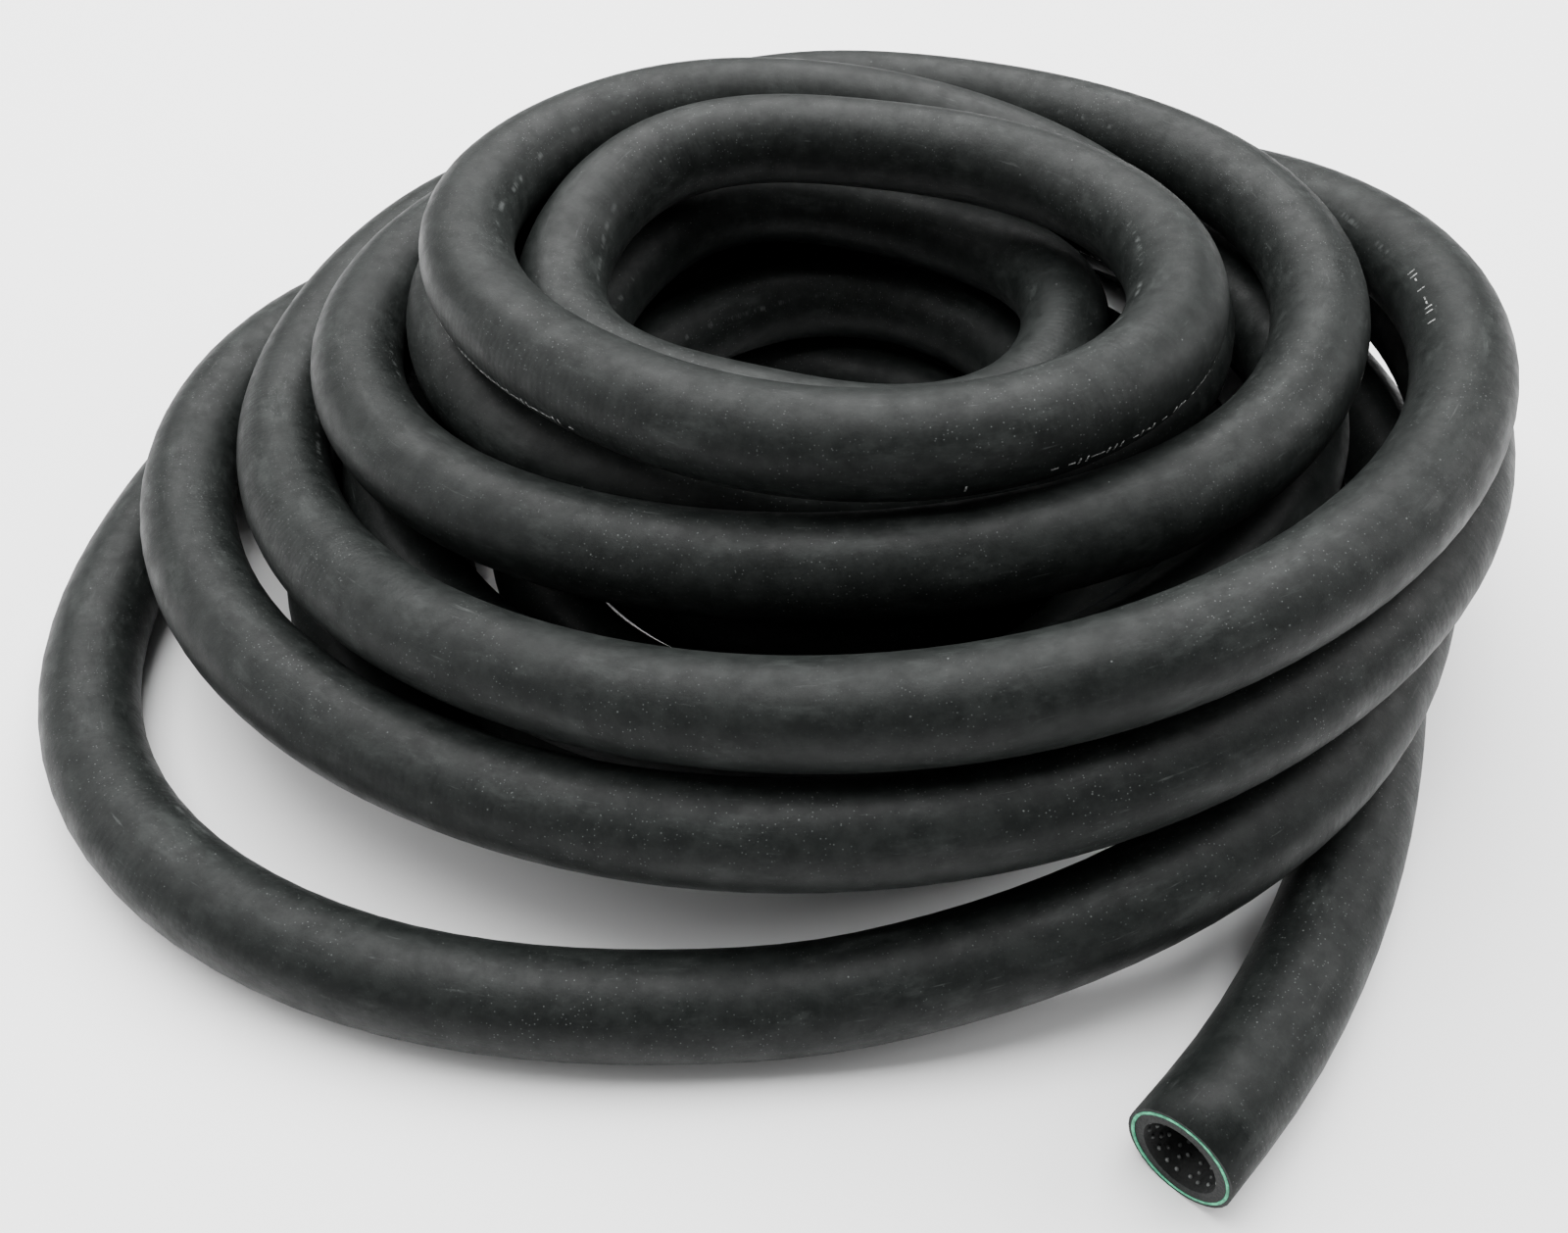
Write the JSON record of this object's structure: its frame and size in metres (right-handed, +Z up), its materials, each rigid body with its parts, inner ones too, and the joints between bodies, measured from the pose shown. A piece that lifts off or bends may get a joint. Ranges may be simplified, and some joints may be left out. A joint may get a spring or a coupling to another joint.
{
  "type": "hose coil",
  "caption": "Long length of black reinforced rubber hose with a smooth cover, wound into a loose stacked coil, with one plainly cut end lying free.",
  "frame": {"origin": "centre of the coil's bounding box, on the floor it lies on", "axes": "+Z up, the free cut end points along -Y"},
  "size_m": [0.4466, 0.4506, 0.1269],
  "materials": {
    "cover_rubber": "satin",
    "yarn": "matte",
    "tube_rubber": "matte"
  },
  "bodies": {
    "root": {"outer_cover": "cover_rubber", "reinforcement": "yarn", "inner_tube": "tube_rubber"}
  },
  "joints": []
}
